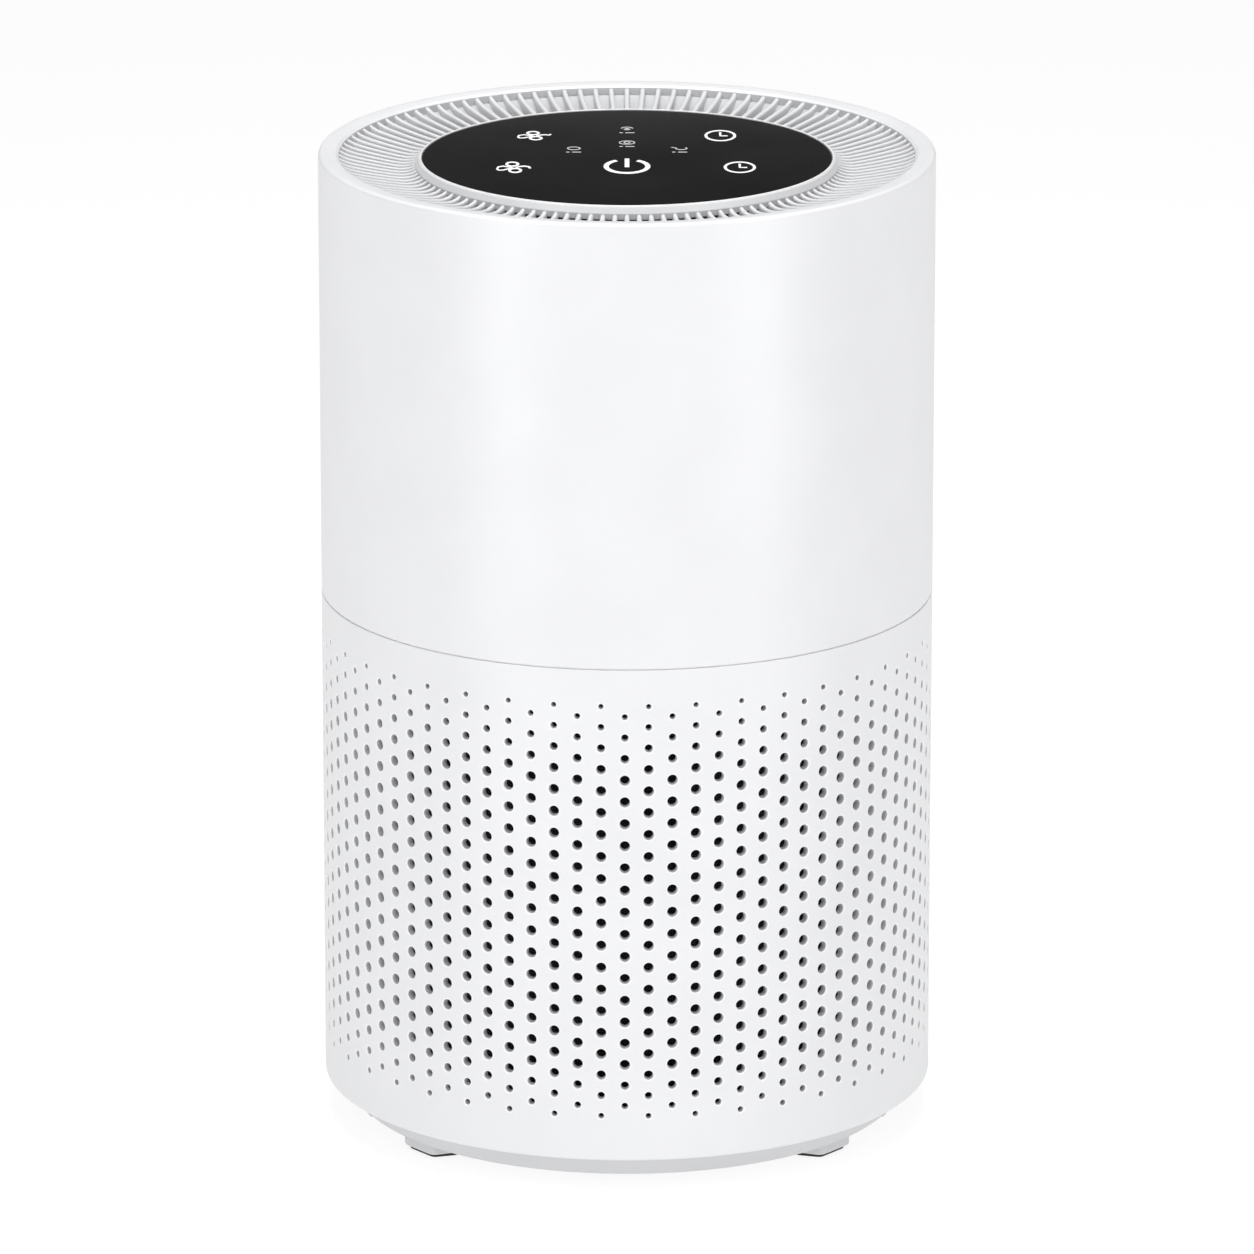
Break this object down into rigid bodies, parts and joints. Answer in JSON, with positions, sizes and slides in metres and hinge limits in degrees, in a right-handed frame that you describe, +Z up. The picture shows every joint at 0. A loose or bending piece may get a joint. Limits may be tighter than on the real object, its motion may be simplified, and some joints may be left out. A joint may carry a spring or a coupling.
{
  "type": "tabletop air purifier",
  "caption": "White cylindrical air purifier with a perforated lower cover, radial outlet vanes and a black touch panel; the body lifts off its twist-lock base and round filter.",
  "frame": {"origin": "centre of the footprint, in the plane of the foot pads' undersides", "axes": "+Z up along the cylinder's axis, -Y towards the front, where the power key is, +X to the right"},
  "size_m": [0.22, 0.22, 0.356],
  "materials": {
    "white_plastic": "fine satin moulded texture",
    "grey_plastic": "satin",
    "dark_plastic": "satin",
    "black_panel": "polished",
    "rubber": "matt",
    "filter_mesh": "woven nylon",
    "filter_paper": "matt pleated",
    "carbon": "granular",
    "foam": "open cell",
    "circuit_board": "solder mask",
    "copper_winding": "enamelled wire",
    "steel": "plated"
  },
  "bodies": {
    "base": {"base_cover": "white_plastic", "foot_pad_front_left": "rubber", "foot_pad_front_right": "rubber", "foot_pad_rear_left": "rubber", "foot_pad_rear_right": "rubber"},
    "filter": {"filter_bottom_cap": "white_plastic", "filter_pull_tab": "filter_mesh", "filter_prefilter": "filter_mesh", "filter_pleats": "filter_paper", "filter_carbon_core": "carbon", "filter_top_cap": "white_plastic", "filter_seal": "foam"},
    "housing": {"intake_cover": "white_plastic", "upper_housing": "white_plastic", "outlet_grille": "white_plastic", "panel_trim_ring": "grey_plastic", "display_panel": "black_panel", "electronics_tray": "dark_plastic", "control_board": "circuit_board", "buzzer": "dark_plastic", "touch_board": "circuit_board", "light_guide": "dark_plastic", "touch_spring_power": "steel", "touch_spring_fan_low": "steel", "touch_spring_timer_short": "steel", "touch_spring_fan_high": "steel", "touch_spring_timer_long": "steel", "tray_screw_1": "steel", "tray_screw_2": "steel", "tray_screw_3": "steel", "fan_deck": "dark_plastic", "air_guide": "grey_plastic", "deck_screw_1": "steel", "deck_screw_2": "steel", "deck_screw_3": "steel", "deck_screw_4": "steel", "deck_screw_5": "steel", "deck_screw_6": "steel", "deck_screw_7": "steel", "deck_screw_8": "steel", "motor_bracket": "steel", "motor_stator": "copper_winding", "motor_bearing_1": "steel", "motor_bearing_2": "steel", "motor_screw_1": "steel", "motor_screw_2": "steel", "motor_screw_3": "steel", "power_inlet": "dark_plastic", "power_lead": "dark_plastic", "motor_lead": "dark_plastic"},
    "fan_rotor": {"impeller": "white_plastic", "impeller_nut": "steel", "motor_rotor": "steel", "motor_shaft": "steel"}
  },
  "joints": [
    {"name": "base_twist", "type": "hinge", "parent": "base", "child": "filter", "pos_m": [0, 0, 0.01], "axis": [0, 0, 1], "range_deg": [0, 30]},
    {"name": "housing_lift", "type": "slide", "parent": "filter", "child": "housing", "axis": [0, 0, 1], "range_m": [0, 0.2]},
    {"name": "fan_spin", "type": "hinge", "parent": "housing", "child": "fan_rotor", "pos_m": [0, 0, 0.26], "axis": [0, 0, 1], "continuous": true}
  ]
}
